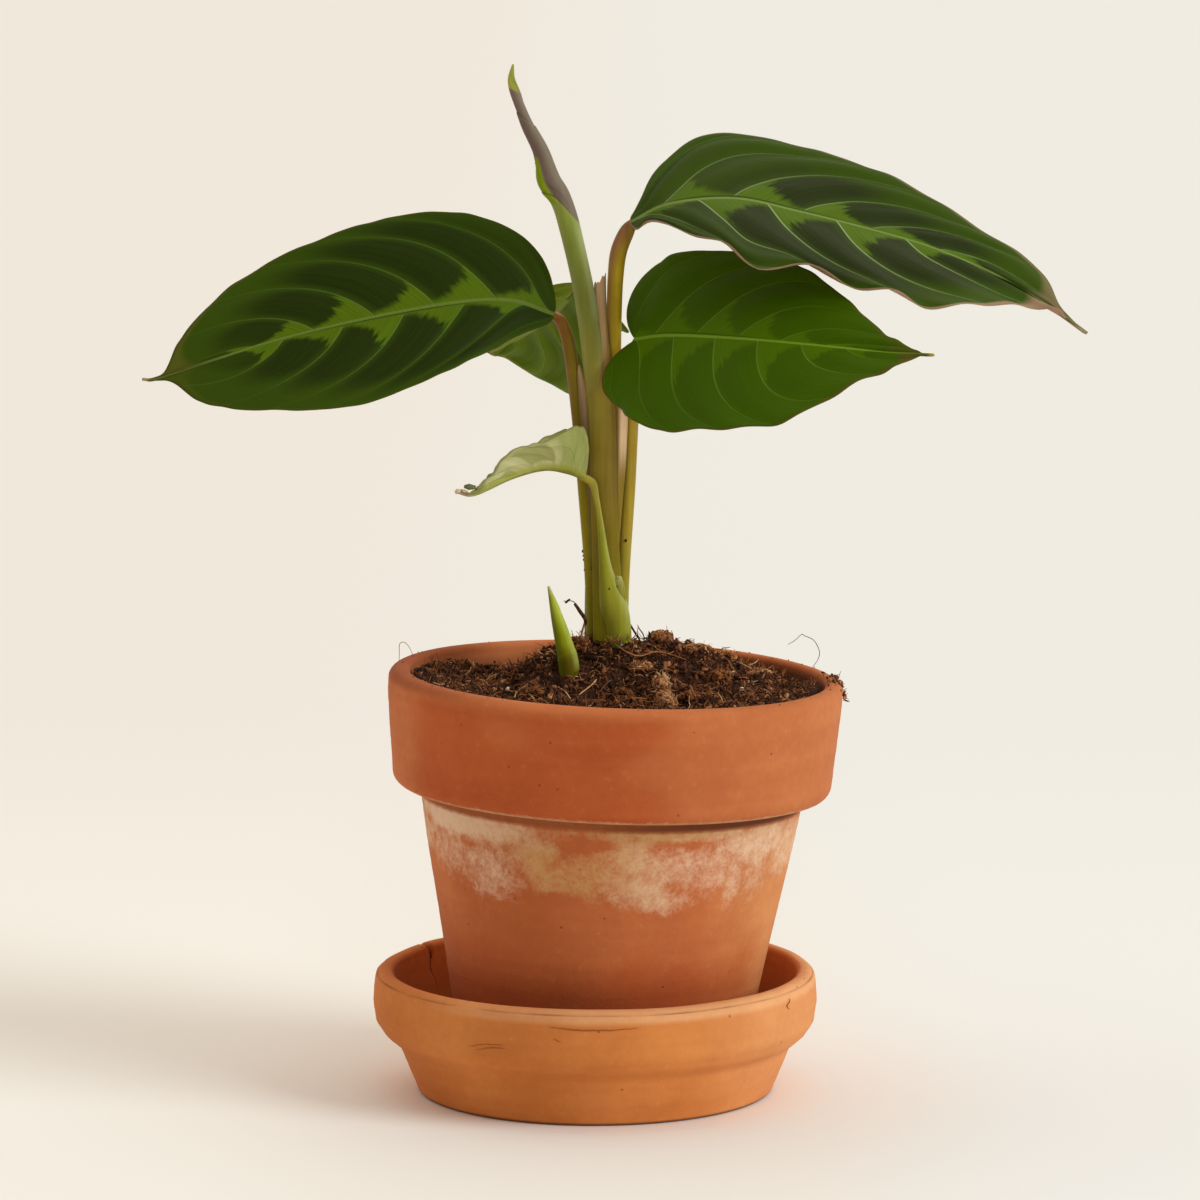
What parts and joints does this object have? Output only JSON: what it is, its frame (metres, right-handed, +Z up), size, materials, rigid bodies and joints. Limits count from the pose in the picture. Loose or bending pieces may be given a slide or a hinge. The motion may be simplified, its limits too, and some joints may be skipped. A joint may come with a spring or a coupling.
{
  "type": "potted calathea",
  "caption": "Young calathea with oval patterned leaves on upright stalks, growing in soil in a terracotta pot that stands in its saucer.",
  "frame": {"origin": "centre of the saucer's flat base", "axes": "+Z up along the saucer's axis, +X to the right and +Y away from the viewer as the plant's front is seen"},
  "size_m": [0.2706, 0.1616, 0.296],
  "materials": {
    "saucer_clay": "unglazed terracotta, light orange",
    "pot_clay": "unglazed terracotta with pale lime bloom",
    "soil": "damp coir and peat crumbs",
    "blade_dark": "dark green leaf with a light feathered band along the midrib",
    "blade_plain": "mid green leaf underside",
    "blade_pale": "pale grey-green young leaf",
    "stalk": "olive and reddish stalk",
    "rolled": "pale green stalk and grey-purple rolled leaf",
    "shoot": "fresh green shoot"
  },
  "bodies": {
    "root": {"saucer": "saucer_clay", "pot": "pot_clay", "soil": "soil", "leaf_left_blade": "blade_dark", "leaf_upper_right_blade": "blade_dark", "leaf_lower_right_blade": "blade_dark", "leaf_back_blade": "blade_plain", "young_leaf_blade": "blade_pale", "leaf_left_petiole": "stalk", "leaf_upper_right_petiole": "stalk", "leaf_lower_right_petiole": "stalk", "leaf_back_petiole": "stalk", "side_shoot": "shoot", "rolled_leaf": "rolled", "spear_shoot": "shoot"}
  },
  "joints": []
}
